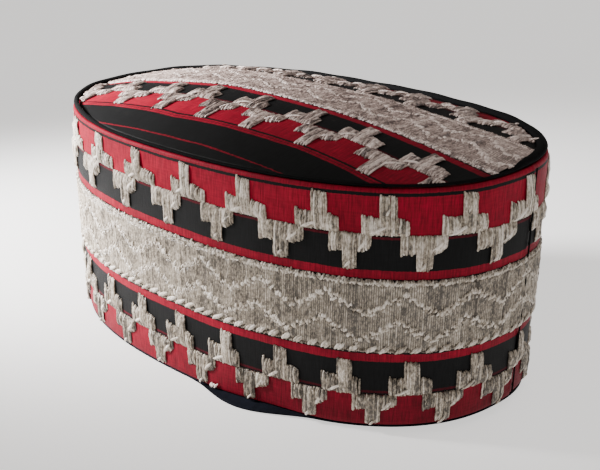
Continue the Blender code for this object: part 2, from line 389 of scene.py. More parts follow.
def panel_reach(x):
    """Where the panel's near and far edges lie at x."""
    rest = np.clip(1 - np.abs(x / PANEL_HALF_LENGTH) ** OVAL_POWER, 0, 1)
    half = PANEL_HALF_WIDTH * rest ** (1 / OVAL_POWER) * 0.985
    return -half - PANEL_SHIFT, half - PANEL_SHIFT


# Meshes

def make_piece(name, points, quads, material, cloth, strand=None, replaced=None):
    """A smooth object from an array of points and one of four-cornered faces."""
    mesh = bpy.data.meshes.new(name)
    mesh.vertices.add(points.size // 3)
    mesh.vertices.foreach_set("co", points.astype(np.float32).ravel())
    mesh.loops.add(quads.size)
    mesh.loops.foreach_set("vertex_index", quads.astype(np.int32).ravel())
    mesh.polygons.add(len(quads))
    mesh.polygons.foreach_set("loop_start", np.arange(0, quads.size, 4, dtype=np.int32))
    mesh.update(calc_edges=True)
    mesh.validate()
    for label, values in (("cloth", cloth), ("strand", strand)):
        if values is not None:
            attribute = mesh.attributes.new(label, "FLOAT_VECTOR", "POINT")
            attribute.data.foreach_set("vector", values.astype(np.float32).ravel())
    mesh.shade_smooth()
    mesh.materials.append(material)
    piece = bpy.data.objects.new(name, mesh)
    bpy.context.scene.collection.objects.link(piece)
    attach(piece, "root")
    if replaced is not None:
        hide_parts(replaced)


def grid_quads(columns, rows, closed_columns=False, closed_rows=False):
    """Faces of a grid whose points run column by column."""
    column = np.arange(columns if closed_columns else columns - 1)
    row = np.arange(rows if closed_rows else rows - 1)
    c, r = np.meshgrid(column, row, indexing="ij")
    c_next = (c + 1) % columns
    r_next = (r + 1) % rows
    quads = np.stack((c * rows + r, c_next * rows + r, c_next * rows + r_next, c * rows + r_next), -1)
    return quads.reshape(-1, 4)


LATTICE = rng.uniform(-1.0, 1.0, (64, 64))


def unevenness(way, up, size):
    """Smooth random values from -1 to 1, with hills about one size wide."""
    a, b = np.asarray(way) / size, np.asarray(up) / size
    a_low, b_low = np.floor(a).astype(int), np.floor(b).astype(int)
    a_share, b_share = a - a_low, b - b_low
    a_share = a_share * a_share * (3 - 2 * a_share)
    b_share = b_share * b_share * (3 - 2 * b_share)

    def along_row(row):
        return LATTICE[a_low % 64, row % 64] * (1 - a_share) + LATTICE[(a_low + 1) % 64, row % 64] * a_share

    return along_row(b_low) * (1 - b_share) + along_row(b_low + 1) * b_share


STRAND_SIDES = 6


def eased_shares(count):
    """Shares from 0 to 1 that lie closer together towards both ends."""
    return (1 - np.cos(np.linspace(0, math.pi, count))) / 2


def strands(way, up, half_width, half_height, base, tone):
    """Closed threads on the cloth. Each array has one row for a strand and one column for a section."""
    sides = STRAND_SIDES
    path = np.stack((way, up), -1)
    direction = np.gradient(path, axis=1)
    direction /= np.maximum(np.linalg.norm(direction, axis=2, keepdims=True), 1e-9)
    side = np.stack((-direction[..., 1], direction[..., 0]), -1)
    angles = 2 * math.pi * (np.arange(sides) + 0.5) / sides
    across = half_width[..., None] * np.cos(angles)
    raised = base[..., None] + half_height[..., None] * np.sin(angles)
    flat = path[:, :, None, :] + side[:, :, None, :] * across[..., None]
    places = np.concatenate((flat, raised[..., None]), -1)

    count, sections = path.shape[:2]
    i, k = np.meshgrid(np.arange(sections - 1) * sides, np.arange(sides), indexing="ij")
    k_next = (k + 1) % sides
    ring = np.stack((i + k, i + k_next, i + sides + k_next, i + sides + k), -1)
    last = (sections - 1) * sides
    near_end = np.array(((3, 2, 1, 0), (5, 4, 3, 0)))
    far_end = last + np.array(((0, 1, 2, 3), (0, 3, 4, 5)))
    one = np.concatenate((ring.reshape(-1, 4), near_end, far_end))
    quads = (one[None] + (np.arange(count) * sections * sides)[:, None, None]).reshape(-1, 4)

    share = np.broadcast_to(np.linspace(0, 1, sections)[None, :, None], places.shape[:3])
    tone = tone[:, None] if tone.ndim == 1 else tone
    tones = np.broadcast_to(tone[:, :, None], places.shape[:3])
    # Painted shade: the underside of each strand gets a low value, which darkens it in the thread materials.
    proud = np.broadcast_to((0.70 + 0.40 * np.sin(angles))[None, None, :], places.shape[:3])
    strand = np.stack((tones, share, proud), -1)
    return places.reshape(-1, 3), quads, strand.reshape(-1, 3)


# Materials

def add_node(tree, kind, inputs=None, **settings):
    node = tree.nodes.new("ShaderNode" + kind)
    for name, value in settings.items():
        setattr(node, name, value)
    for name, value in (inputs or {}).items():
        if isinstance(value, bpy.types.NodeSocket):
            tree.links.new(value, node.inputs[name])
        else:
            node.inputs[name].default_value = value
    return node


def calculate(tree, operation, first, second=0.0):
    return add_node(tree, "Math", {0: first, 1: second}, operation=operation).outputs[0]


def product(tree, first, second):
    return calculate(tree, "MULTIPLY", first, second)


def total(tree, first, second):
    return calculate(tree, "ADD", first, second)


def wave(tree, length, period):
    """Sine of a length on the cloth."""
    return calculate(tree, "SINE", product(tree, length, 2 * math.pi / period))


def new_material(name):
    material = bpy.data.materials.new(name)
    material.use_nodes = True
    return material, material.node_tree, material.node_tree.nodes["Principled BSDF"]


def cloth_material(name):
    """A material with its shader, the cloth's coordinate, and that coordinate's three parts."""
    material, tree, shader = new_material(name)
    cloth = add_node(tree, "Attribute", attribute_name="cloth").outputs["Vector"]
    place = add_node(tree, "SeparateXYZ", {0: cloth}).outputs
    return material, tree, shader, cloth, place


def noise(tree, vector, scale, detail=2.0, roughness=0.5):
    inputs = {"Vector": vector, "Scale": scale, "Detail": detail, "Roughness": roughness}
    return add_node(tree, "TexNoise", inputs).outputs["Fac"]


def stretched_noise(tree, vector, scale, detail=2.0, roughness=0.5):
    stretched = add_node(tree, "Mapping", {"Vector": vector, "Scale": scale}).outputs[0]
    return noise(tree, stretched, 1.0, detail, roughness)


def multiply_colours(tree, first, second):
    node = add_node(tree, "Mix", data_type="RGBA", blend_type="MULTIPLY")
    node.inputs[0].default_value = 1.0
    tree.links.new(first, node.inputs[6])
    tree.links.new(second, node.inputs[7])
    return node.outputs[2]


def paint_light_across(tree, operation, value, place, changes):
    """Paint light and shade into a value across the cloth."""
    for axis, start, end, at_start, at_end in changes:
        step = map_range(tree, place[axis], start * MM, end * MM, at_start, at_end)
        value = calculate(tree, operation, value, step)
    return value


def add_bump(tree, shader, height, strength, distance):
    bump = add_node(tree, "Bump", {"Height": height, "Strength": strength, "Distance": distance}).outputs[0]
    tree.links.new(bump, shader.inputs["Normal"])


def set_gloss(shader, roughness, specular):
    shader.inputs["Roughness"].default_value = roughness
    shader.inputs["Specular IOR Level"].default_value = specular


def ramp(tree, factor, stops, interpolation="LINEAR"):
    """Colour ramp from (place, colour) pairs."""
    node = add_node(tree, "ValToRGB", {"Fac": factor})
    node.color_ramp.interpolation = interpolation
    elements = node.color_ramp.elements
    while len(elements) > 1:
        elements.remove(elements[-1])
    for index, (place, colour) in enumerate(stops):
        element = elements[0] if index == 0 else elements.new(place)
        element.position = place
        element.color = (*colour, 1.0)
    return node.outputs["Color"]


def map_range(tree, value, low, high, to_low=0.0, to_high=1.0):
    inputs = {"Value": value, "From Min": low, "From Max": high, "To Min": to_low, "To Max": to_high}
    return add_node(tree, "MapRange", inputs).outputs["Result"]


def stripe_colour(tree, distance, stripes):
    """Stripes by the distance from the silver band."""
    stops = []
    start = 0.0
    for end, colour in stripes:
        stops.append((start / STRIPE_SPAN, COLOURS[colour]))
        start = end
    stops.append((start / STRIPE_SPAN, COLOURS["black"]))
    return ramp(tree, calculate(tree, "DIVIDE", distance, STRIPE_SPAN * MM), stops, "CONSTANT")


def striped_cloth(name, silver, stripes, shades):
    """Woven cloth with stripes on both sides of the silver band."""
    material, tree, shader, cloth, place = cloth_material(name)
    stray = product(tree, calculate(tree, "SUBTRACT", noise(tree, cloth, 900.0, 3.0), 0.5), 0.6 * MM)
    stray_wide = product(tree, calculate(tree, "SUBTRACT", noise(tree, cloth, 60.0), 0.5), 0.8 * MM)
    up = total(tree, total(tree, place[1], stray), stray_wide)
    above = calculate(tree, "SUBTRACT", up, silver[1])
    below = calculate(tree, "SUBTRACT", silver[0], up)
    colour = stripe_colour(tree, calculate(tree, "MAXIMUM", above, below), stripes)

    warp = stretched_noise(tree, cloth, (1800.0, 160.0, 0.0))
    weft = stretched_noise(tree, cloth, (180.0, 1500.0, 0.0))
    cloudy = noise(tree, cloth, 45.0, 3.0)
    shade = map_range(tree, warp, 0.3, 0.7, 0.62, 1.30)
    shade = product(tree, shade, map_range(tree, weft, 0.3, 0.7, 0.86, 1.12))
    shade = product(tree, shade, map_range(tree, cloudy, 0.3, 0.7, 0.80, 1.16))
    # Painted shade: the colour is darkened across the cloth, towards the wall's hem and towards the panel's
    # +x side.
    shade = paint_light_across(tree, "MULTIPLY", shade, place, shades)
    grey = add_node(tree, "CombineXYZ", {0: shade, 1: shade, 2: shade}).outputs[0]
    tree.links.new(multiply_colours(tree, colour, grey), shader.inputs["Base Color"])

    weave = product(tree, wave(tree, place[0], 0.52 * MM), wave(tree, place[1], 0.60 * MM))
    add_bump(tree, shader, total(tree, product(tree, weave, 0.25), warp), 0.6, 0.12 * MM)
    set_gloss(shader, 0.60, 0.10)
    return material


def silver_thread(name, tones, painted_light):
    """Twisted thread. strand holds a thread's tone, the way along it and how far it stands out; low-standing
    parts get painted shade.
    """
    material, tree, shader, cloth, place = cloth_material(name)
    strand = add_node(tree, "Attribute", attribute_name="strand").outputs["Vector"]
    part = add_node(tree, "SeparateXYZ", {0: strand}).outputs
    mottle = stretched_noise(tree, cloth, (1600.0, 700.0, 0.0), 3.0, 0.7)
    cloudy = noise(tree, cloth, 90.0, 3.0)
    tone = product(tree, part[0], 0.60)
    tone = total(tree, tone, map_range(tree, mottle, 0.30, 0.70, -0.36, 0.56))
    tone = total(tree, tone, map_range(tree, cloudy, 0.3, 0.7, -0.12, 0.12))
    # Painted light and shade: the threads' tone is raised and lowered across the cloth, by height on the wall
    # and by x on the panel.
    tone = paint_light_across(tree, "ADD", tone, place, painted_light)
    # Painted shade: the colour darkens where a thread stands low, on the undersides of strands and in the
    # valleys between floats, where dark cloth also shows.
    tone = product(tree, tone, map_range(tree, part[2], 0.0, 0.8, 0.10, 1.0))
    tree.links.new(ramp(tree, tone, tones), shader.inputs["Base Color"])

    twist = add_node(tree, "Mapping", {"Vector": cloth, "Rotation": (0.0, 0.0, math.radians(28))}).outputs[0]
    turned = add_node(tree, "SeparateXYZ", {0: twist}).outputs
    ply = wave(tree, turned[1], 0.50 * MM)
    add_bump(tree, shader, total(tree, product(tree, ply, 0.35), mottle), 0.7, 0.18 * MM)
    set_gloss(shader, 0.34, 0.65)
    return material


def plain_cloth(name, colour, roughness):
    """Matt plain-woven cloth in one colour."""
    material, tree, shader, cloth, place = cloth_material(name)
    mottle = noise(tree, cloth, 500.0, 3.0)
    cloudy = noise(tree, cloth, 40.0, 3.0)
    dark = tuple(0.6 * part for part in colour)
    light = tuple(1.8 * part for part in colour)
    tone = total(tree, product(tree, mottle, 0.6), product(tree, cloudy, 0.4))
    tree.links.new(ramp(tree, tone, ((0.3, dark), (0.7, light))), shader.inputs["Base Color"])
    weave = product(tree, wave(tree, place[0], 0.55 * MM), wave(tree, place[1], 0.55 * MM))
    add_bump(tree, shader, total(tree, product(tree, weave, 0.5), mottle), 0.6, 0.12 * MM)
    set_gloss(shader, roughness, 0.08)
    return material


# Pieces

def wall_cloth(material):
    """Outer cloth of the wall, turned in at the hem and the rim, and its plain back."""
    columns = 440
    turn = 1.5 * MM
    section = [(0.12 * MM, -0.35 * MM), (0.2 * MM, -0.1 * MM)]
    section += [(up, 0.0) for up in np.linspace(0.5 * MM, WALL_HEIGHT - turn, 68)]
    for angle in np.linspace(0.3, math.pi / 2, 5):
        section.append((WALL_HEIGHT - turn + turn * math.sin(angle), -0.9 * MM * (1 - math.cos(angle))))
    section += [(WALL_HEIGHT - 0.1 * MM, -WALL_THICKNESS)]
    section += [(up, -WALL_THICKNESS) for up in np.linspace(WALL_HEIGHT - 4 * MM, 2 * MM, 14)]
    section += [(0.1 * MM, -WALL_THICKNESS)]
    places = np.zeros((columns, len(section), 3))
    places[..., 0] = (SEAM_AT + np.linspace(0, AROUND, columns, endpoint=False))[:, None]
    places[..., 1:] = np.array(section)[None]
    quads = grid_quads(columns, len(section), True, True)
    make_piece("wall_cloth", on_wall(places), quads, material, places, replaced="side_band")


def oval_ring(columns):
    """Places along the rim with their shares, outward normals and the rim's height."""
    ways = np.linspace(0, AROUND, columns, endpoint=False)
    along, across = shares_at(ways)
    normal_x, normal_y = oval_normal(along, across, HALF_LENGTH, HALF_WIDTH)
    return ways, along, across, normal_x, normal_y, HEM_CLEARANCE + rim_above_hem(along, across)


def panel_cloth(material):
    """Top panel: striped face, edge turned down inside the roll, and plain underside."""
    columns = 360
    ways, along, across, normal_x, normal_y, rim = oval_ring(columns)
    edge_x = along * HALF_LENGTH - normal_x * PANEL_INSET
    edge_y = across * (HALF_WIDTH + PANEL_SHIFT) - normal_y * PANEL_INSET
    shares = np.linspace(1.0, 0.02, 62)
    flat = flatter_roll(ways)
    loops = []
    for inset, height, pull in ((3.80, -4.0, 0.0), (2.30, -4.0, 0.0), (2.30, -0.3, 0.0), (3.25, -0.1, 1.0)):
        inward = inset - 0.9 * pull * flat
        x = along * HALF_LENGTH - normal_x * inward * MM
        y = across * HALF_WIDTH - normal_y * inward * MM
        loops.append(np.stack((x, y, rim + (height + 0.5 * pull * flat) * MM), -1))
    for share in shares:
        x, y = edge_x * share, edge_y * share - PANEL_SHIFT
        loops.append(np.stack((x + seam_end_pull(x, y), y, panel_height(x, y)), -1))
    for share in shares[::-4]:
        x, y = edge_x * share, edge_y * share - PANEL_SHIFT
        loops.append(np.stack((x, y, panel_height(x, y) - PANEL_THICKNESS), -1))
    points = np.stack(loops, 1)
    quads = grid_quads(columns, points.shape[1], True, True)
    cloth = points.copy()
    cloth[..., 1] -= sway(points[..., 0], points[..., 1])
    cloth[..., 2] = 0.0
    make_piece("crown_cloth", points, quads, material, cloth, replaced="crown")


def flatter_roll(ways):
    """1 along the near side, where the roll is flat and the panel's cloth reaches over it."""
    past = 2 * FLAT_ROLL_TO
    way = np.mod(ways - past, AROUND) - AROUND + past
    return np.clip((way - FLAT_ROLL_FROM) / (30 * MM), 0, 1) * np.clip((FLAT_ROLL_TO - way) / (6 * MM), 0, 1)


def roll(material):
    """Black cloth roll between the wall and the top panel. It is flatter along the near side."""
    columns, sides = 420, 14
    ways, along, across, normal_x, normal_y, rim = oval_ring(columns)
    angles = 2 * math.pi * np.arange(sides) / sides
    plump = 1 + 0.06 * np.sin(ways / (9.1 * MM)) + 0.05 * np.sin(ways / (3.7 * MM) + 1.0)
    pulled = seam_end_pull(along * HALF_LENGTH, across * HALF_WIDTH) * np.clip(normal_x, 0, 1)
    inner = PANEL_INSET + PANEL_SHIFT * np.minimum(normal_y, 0) * 2 - pulled + 0.15 * MM
    half_width = (inner - ROLL_OUTER) / 2
    half_height = ROLL_HEIGHT / 2 * (1 - 0.60 * flatter_roll(ways)) * plump
    inset = ((inner + ROLL_OUTER) / 2)[:, None] + half_width[:, None] * np.cos(angles)
    x = (along * HALF_LENGTH)[:, None] - normal_x[:, None] * inset
    y = (across * HALF_WIDTH)[:, None] - normal_y[:, None] * inset
    z = (rim + FIT_GAP + half_height)[:, None] + half_height[:, None] * np.sin(angles)
    points = np.stack((x, y, z), -1)
    quads = grid_quads(columns, sides, True, True)[:, ::-1]
    cloth = np.zeros_like(points)
    cloth[..., 0] = ways[:, None]
    cloth[..., 1] = angles * ROLL_WIDTH / 2
    make_piece("welt_roll", points, quads, material, cloth, replaced="crown_welt")


def lining(material):
    """Dark lining: a band behind the wall with its edge turned out under the hem."""
    columns = 360
    ways, along, across, _, _, rim = oval_ring(columns)
    lift, arch = hem_heights(along, across)
    hem = HEM_CLEARANCE + lift + arch
    outer = WALL_THICKNESS + FIT_GAP
    inner = outer + LINING_THICKNESS
    top = rim - 4.3 * MM
    offset = np.clip((along * HALF_LENGTH - FLARE_CENTRE) / FLARE_HALF_LENGTH, -1, 1)
    flare = np.where(across < 0, LINING_FLARE * np.cos(offset * math.pi / 2) ** 2, 0.0)
    rows = [(0.9 * MM - flare, lift), (0.5 * MM - flare, lift + 0.15 * MM)]
    rows += [(0.3 * MM - 0.75 * flare, lift + 0.5 * arch)]
    rows += [(0.4 * MM, hem - FIT_GAP - 0.1 * MM), (0.7 * MM, hem - FIT_GAP), (outer, hem - FIT_GAP)]
    rows += [(outer, hem + share * (top - hem)) for share in (0.25, 0.5, 0.75, 1.0)]
    rows += [(inner, top - share * (top - lift)) for share in np.linspace(0.0, 0.985, 26)]
    rows += [(inner - 0.3 * MM, lift)]
    loops = []
    for inset, z in rows:
        half_length, half_width = plan_size((z - hem) / (rim - hem))
        normal_x, normal_y = oval_normal(along, across, half_length, half_width)
        x, y = along * half_length - normal_x * inset, across * half_width - normal_y * inset
        loops.append(np.stack((x, y, z), -1))
    points = np.stack(loops, 1)
    quads = grid_quads(columns, points.shape[1], True, True)
    cloth = np.zeros_like(points)
    cloth[..., 0] = ways[:, None]
    cloth[..., 1] = points[..., 2]
    make_piece("lining_cloth", points, quads, material, cloth, replaced="lining")


def around_all(measured, gaps):
    """The motifs that were measured, and regular ones along the rest of the rim."""
    last = measured[-1][0]
    room = AROUND / MM - (last - measured[0][0])
    return measured + tuple((last + room * index / gaps, *REGULAR_REACH) for index in range(1, gaps))


def along_panel(measured, period):
    """The same for the top panel, out to both ends."""
    found = list(measured)
    middle = measured[0][0] - period
    while middle > -HALF_LENGTH / MM:
        found.append((middle, *PANEL_END_REACH))
        middle -= period
    middle = measured[-1][0] + period
    while middle < HALF_LENGTH / MM:
        found.append((middle, *PANEL_END_REACH))
        middle += period
    return found


MOTIF_SECTIONS = 10


def motif_threads(motifs, form, style, to_up, reach=None):
    """Threads of stepped motifs. to_up turns a distance from the silver band into a place on the cloth."""
    outward = math.copysign(1.0, form["tip"] - form["base"])
    rows = []
    for middle, left, right in motifs:
        left, right = left * MM, right * MM
        lift = rng.uniform(0.85, 1.15, 3)
        for offset in np.linspace(-left, right, int(round((left + right) / MOTIF_PITCH))):
            if abs(offset) < COLUMN_HALF:
                block = 1
                across = offset / COLUMN_HALF
                ear = style["column_ear"] * max(0.0, -across) ** 3
                end = form["tip"] + outward * (ear - style["column_fall"] * max(0.0, across) ** 2)
            elif offset < 0:
                block = 0
                across = -1 + 2 * (offset + left) / (left - COLUMN_HALF)
                ear = style["left_ear"] * max(0.0, -across) ** 2
                end = form["shoulder"] + outward * (ear - 0.3 * max(0.0, across) ** 3)
            else:
                block = 2
                across = -1 + 2 * (offset - COLUMN_HALF) / (right - COLUMN_HALF)
                end = form["shoulder"] - outward * style["right_fall"] * ((across + 1) / 2) ** 2
            end += outward * rng.normal(0, 0.17)
            start = form["base"] + rng.normal(0, 0.14)
            way = middle * MM + offset + rng.normal(0, 0.07) * MM
            lump = max(0.0, 1 - abs(across) ** 3) * lift[block]
            lean = style["lean"] * abs(end - start) * MM + rng.normal(0, 0.10) * MM
            rows.append((way, to_up(start * MM), to_up(end * MM), lump, lean))
    rows = np.array(rows)
    if reach is not None:
        near_limit, far_limit = reach(rows[:, 0])
        rows[:, 1:3] = np.clip(rows[:, 1:3], near_limit[:, None], far_limit[:, None])
        rows = rows[np.abs(rows[:, 2] - rows[:, 1]) > 1.2 * MM]
    ways, starts, ends, lumps, leans = rows.T[:, :, None]
    count = len(rows)
    shares = eased_shares(MOTIF_SECTIONS)
    up = starts + (ends - starts) * shares
    wobble = rng.normal(0, 0.05, (count, MOTIF_SECTIONS)) * MM
    way = ways + leans * shares + wobble
    length = np.abs(ends - starts)
    round_ends = np.clip(np.minimum(shares, 1 - shares) * length / (1.3 * MM), 0.0, 1.0) ** 0.5
    half_width = 0.44 * MM * (0.65 + 0.35 * round_ends) * rng.uniform(0.85, 1.20, (count, 1))
    half_height = 0.40 * MM * (0.45 + 0.55 * round_ends) * rng.uniform(0.8, 1.3, (count, 1))
    loft = 0.22 * MM + MOTIF_LOFT * lumps * np.sin(shares * math.pi) ** 0.6
    base = 0.10 * MM + loft * round_ends * (1 + 0.45 * unevenness(way, up, 1.7 * MM))
    base = base + rng.normal(0, 0.06, (count, MOTIF_SECTIONS)) * MM
    tone = rng.uniform(-0.15, 1, count)[:, None] + 0.45 * unevenness(way + 9 * MM, up, 1.3 * MM)
    return strands(way, up, half_width, half_height, base, tone)


def add_threads(name, parts, place, material):
    """One piece out of several sets of places, faces and strand values."""
    starts = np.cumsum([0] + [len(part_places) for part_places, _, _ in parts])
    places = np.concatenate([part_places for part_places, _, _ in parts])
    quads = np.concatenate([part_quads + start for (_, part_quads, _), start in zip(parts, starts)])
    strand = np.concatenate([part_strand for _, _, part_strand in parts])
    make_piece(name, place(places), quads, material, places, strand)


def carry_stitches(motifs, form, style, to_up, reach=None):
    """Slanted threads over each motif, coloured bright as a painted highlight."""
    outward = math.copysign(1.0, form["tip"] - form["base"])
    rows = []
    for middle, left, right in motifs:
        if reach is not None and abs(middle * MM) > HALF_LENGTH - 16 * MM:
            continue
        sides = {"left": -left, "middle": 0.0, "right": right}
        for side, shift, rise, end_shift, end_rise, width in style["stitches"]:
            start = middle + sides[side] + shift + rng.normal(0, 0.3)
            end = middle + end_shift + rng.normal(0, 0.3)
            low = to_up((form["base"] + outward * (rise + rng.normal(0, 0.2))) * MM)
            high = to_up((form["base"] + outward * (end_rise + rng.normal(0, 0.3))) * MM)
            rows.append((start * MM, low, end * MM, high, width * rng.uniform(0.85, 1.15) * MM))
    start_way, start_up, end_way, end_up, width = np.array(rows).T[:, :, None]
    shares = np.linspace(0, 1, 8)
    way = start_way + (end_way - start_way) * shares
    up = start_up + (end_up - start_up) * shares
    round_ends = np.sin(np.clip(shares, 0.02, 0.98) * math.pi) ** 0.5 * np.ones((len(rows), 1))
    # Painted highlight: these threads get the lightest tones.
    tone = rng.uniform(0.95, 1.45, len(rows))
    base = 0.35 * MM + 0.85 * MM * round_ends
    return strands(way, up, width * round_ends, 0.45 * MM * round_ends, base, tone)


def zigzag(ways, peaks, low, high):
    """Height of a stepped zigzag with its top at each peak."""
    peaks = np.sort(np.asarray(peaks))
    after = np.searchsorted(peaks, ways)
    before_peak = peaks[np.clip(after - 1, 0, len(peaks) - 1)]
    after_peak = peaks[np.clip(after, 0, len(peaks) - 1)]
    half = np.maximum((after_peak - before_peak) / 2, 1 * MM)
    nearest = np.minimum(np.abs(ways - before_peak), np.abs(after_peak - ways))
    share = np.clip(nearest / half, 0, 1)
    stair = np.round(share * ZIGZAG_STEPS) / ZIGZAG_STEPS
    return high - (high - low) * stair


def thread_band(name, ways, bounds, row_counts, closed, place, material):
    """Side-by-side floats as one relief. bounds: bound places, one array for each row of ties."""
    count = len(ways)
    column_ways = np.repeat(ways, 2)
    column_ways[1::2] += THREAD_PITCH / 2
    ridge = np.tile((0.0, 1.0), count)[:, None]
    heights = rng.uniform(0.6, 1.3, count).repeat(2)[:, None]
    tones = rng.uniform(0, 0.85, count).repeat(2)
    slits = (rng.uniform(0, 1, count) < 0.010).repeat(2)
    ups, outs, shades = [], [], []
    for index, rows in enumerate(row_counts):
        low = bounds[index].repeat(2)[:, None]
        high = bounds[index + 1].repeat(2)[:, None]
        shares = eased_shares(rows)
        if index > 0:
            shares = shares[1:]
        up = low + (high - low) * shares
        length = np.maximum(high - low, 0.5 * MM)
        near_top = np.exp(-(1 - shares) * length / (1.1 * MM))
        bulge = np.clip(np.minimum(shares, 1 - shares) * length / (0.7 * MM), 0, 1) ** 0.6
        floats = 0.08 + 0.42 * bulge + 0.38 * near_top * bulge
        outs.append((floats + 0.40 * ridge * heights * (0.30 + 0.70 * bulge)) * MM)
        shade = tones * 0.5 + rng.uniform(-0.05, 0.40, count).repeat(2)
        shades.append(np.broadcast_to(shade[:, None], up.shape))
        ups.append(up)
    up = np.concatenate(ups, 1)
    rows = up.shape[1]
    way = np.broadcast_to(column_ways[:, None], up.shape)
    shade = np.concatenate(shades, 1) + 0.42 * unevenness(way, up, 1.8 * MM)
    hills = 0.20 * unevenness(way + 5 * MM, up, 2.6 * MM) + 0.12 * unevenness(way, up, 1.2 * MM)
    out = np.concatenate(outs, 1) + hills * MM
    row = np.arange(rows)
    sunk = slits[:, None] & ((row > rows * 0.3) & (row < rows * 0.92))
    out = np.where(sunk, 0.04 * MM, out)
    out[:, (0, -1)] = -0.1 * MM
    jitter = rng.normal(0, 0.035, up.shape) * MM
    places = np.stack((way + jitter, up, out), -1)
    share = np.broadcast_to(np.linspace(0, 1, rows), up.shape)
    # Valleys between floats get 0 and are darkened: partly the dark cloth between threads, partly painted
    # shade. Slits get 0 for the dark cloth that shows through.
    strand = np.stack((shade, share, np.where(sunk, 0.0, ridge)), -1)
    quads = grid_quads(2 * count, rows, closed)
    add_threads(name, [(places.reshape(-1, 3), quads, strand.reshape(-1, 3))], place, material)


def edge_notches(count, group, depth):
    """Uneven ends of a row of threads: each group ends in a notch."""
    marks = np.zeros(count)
    place = 0
    for step in rng.integers(group - 1, group + 2, count):
        place += int(step)
        if place >= count:
            break
        marks[place] = rng.uniform(0.6, 1.2)
    return marks * depth


def knots(ways, ups, length, width, height, lean=0.0):
    """Short plump stitches, one at each place."""
    count = len(ways)
    shares = np.linspace(-0.5, 0.5, 5)
    size = rng.uniform(0.65, 1.35, (count, 1))
    tilt = (lean + rng.normal(0, 0.28, (count, 1))) * length
    way = ways[:, None] + tilt * shares
    up = (ups + rng.normal(0, 0.22, count) * MM)[:, None] + length * size * shares
    plump = np.cos(shares * math.pi * 0.92) ** 0.5 * np.ones((count, 1))
    base = height * (0.45 + 0.55 * plump) * rng.uniform(0.8, 1.2, (count, 1))
    tone = rng.uniform(0.55, 1.5, count)
    return strands(way, up, width * plump * size, 0.36 * MM * plump, base, tone)


def zigzag_knots(ways, line):
    """Light stitches two rows deep along a zigzag; the lower row has gaps."""
    first = knots(ways, line + 0.5 * MM, 2.0 * MM, 0.52 * MM, 0.80 * MM, 0.08)
    kept = rng.uniform(0, 1, len(ways)) < 0.6
    second = knots(ways[kept], (line - 1.0 * MM)[kept], 1.6 * MM, 0.48 * MM, 0.62 * MM, 0.08)
    return first, second


def wall_silver(material):
    """Silver band of the wall: long floats bound along two stepped zigzags, with knots at the ties."""
    count = int(round(AROUND / THREAD_PITCH))
    ways = SEAM_AT - AROUND + np.arange(count) * AROUND / count
    before = ZIGZAG_PEAKS[0] - ZIGZAG_PERIOD * np.arange(1, 16)
    after = ZIGZAG_PEAKS[-1] + ZIGZAG_PERIOD * np.arange(1, 4)
    peaks = np.concatenate((before, ZIGZAG_PEAKS, after)) * MM
    low, high = WALL_SILVER
    (lower_low, lower_high), (upper_low, upper_high) = WALL_ZIGZAGS
    bottom = low + rng.normal(0.2, 0.2, count) * MM
    stitch_line = low + rng.normal(1.5, 0.4, count) * MM
    lower = zigzag(ways, peaks, lower_low * MM, lower_high * MM) + rng.normal(0, 0.15, count) * MM
    upper = zigzag(ways, peaks + 1.8 * MM, upper_low * MM, upper_high * MM) + rng.normal(0, 0.15, count) * MM
    knot_line = high - 1.5 * MM + rng.normal(0, 0.35, count) * MM
    top = high + 0.1 * MM + rng.normal(0, 0.25, count) * MM - edge_notches(count, 4, 0.35 * MM)
    bounds = (bottom, stitch_line, lower, upper, knot_line, top)
    thread_band("wall_silver_band", ways, bounds, (5, 11, 12, 11, 7), True, on_wall, material)

    middles = ways + THREAD_PITCH / 2
    parts = [part for line in (lower, upper) for part in zigzag_knots(middles, line)]
    top_knots = np.full(count, high - 1.2 * MM)
    parts.append(knots(middles, top_knots, 2.4 * MM, 0.50 * MM, 0.50 * MM, 0.12))
    add_threads("wall_silver_knots", parts, on_wall, material)


def panel_silver(material):
    """Silver band of the top panel, which runs under the roll at both ends."""
    end = PANEL_HALF_LENGTH * 0.992
    count = int(round(2 * end / THREAD_PITCH))
    ways = np.linspace(-end, end, count)
    peaks = np.arange(-130.0, 131.0, ZIGZAG_PERIOD) * MM
    low, high = PANEL_SILVER
    near_limit, far_limit = panel_reach(ways)
    bottom = low + rng.normal(-0.1, 0.2, count) * MM + edge_notches(count, 4, 0.3 * MM)
    low_knots = low + 2.5 * MM + rng.normal(0, 0.15, count) * MM
    lower, upper = (zigzag(ways, peaks, trough * MM, peak * MM) for trough, peak in PANEL_ZIGZAGS)
    high_knots = np.full(count, high + PANEL_SILVER_OVERLAP - 2.3 * MM)
    top = high + PANEL_SILVER_OVERLAP + rng.normal(0, 0.2, count) * MM
    edges = (bottom, low_knots, lower, upper, high_knots, top)
    bounds = [np.clip(edge, near_limit, far_limit) for edge in edges]
    thread_band("crown_silver_band", ways, bounds, (6, 11, 12, 11, 6), False, on_panel, material)

    middles = ways + THREAD_PITCH / 2
    parts = []
    for line in (lower, upper):
        kept = (line > near_limit + 3 * MM) & (line < far_limit - 3 * MM)
        parts += zigzag_knots(middles[kept], line[kept])
    for line in (low_knots - 1.2 * MM, high_knots + 1.0 * MM):
        kept = (line > near_limit + 2 * MM) & (line < far_limit - 2 * MM)
        parts.append(knots(middles[kept], line[kept], 2.3 * MM, 0.50 * MM, 0.50 * MM, 0.12))
    add_threads("crown_silver_knots", parts, on_panel, material)


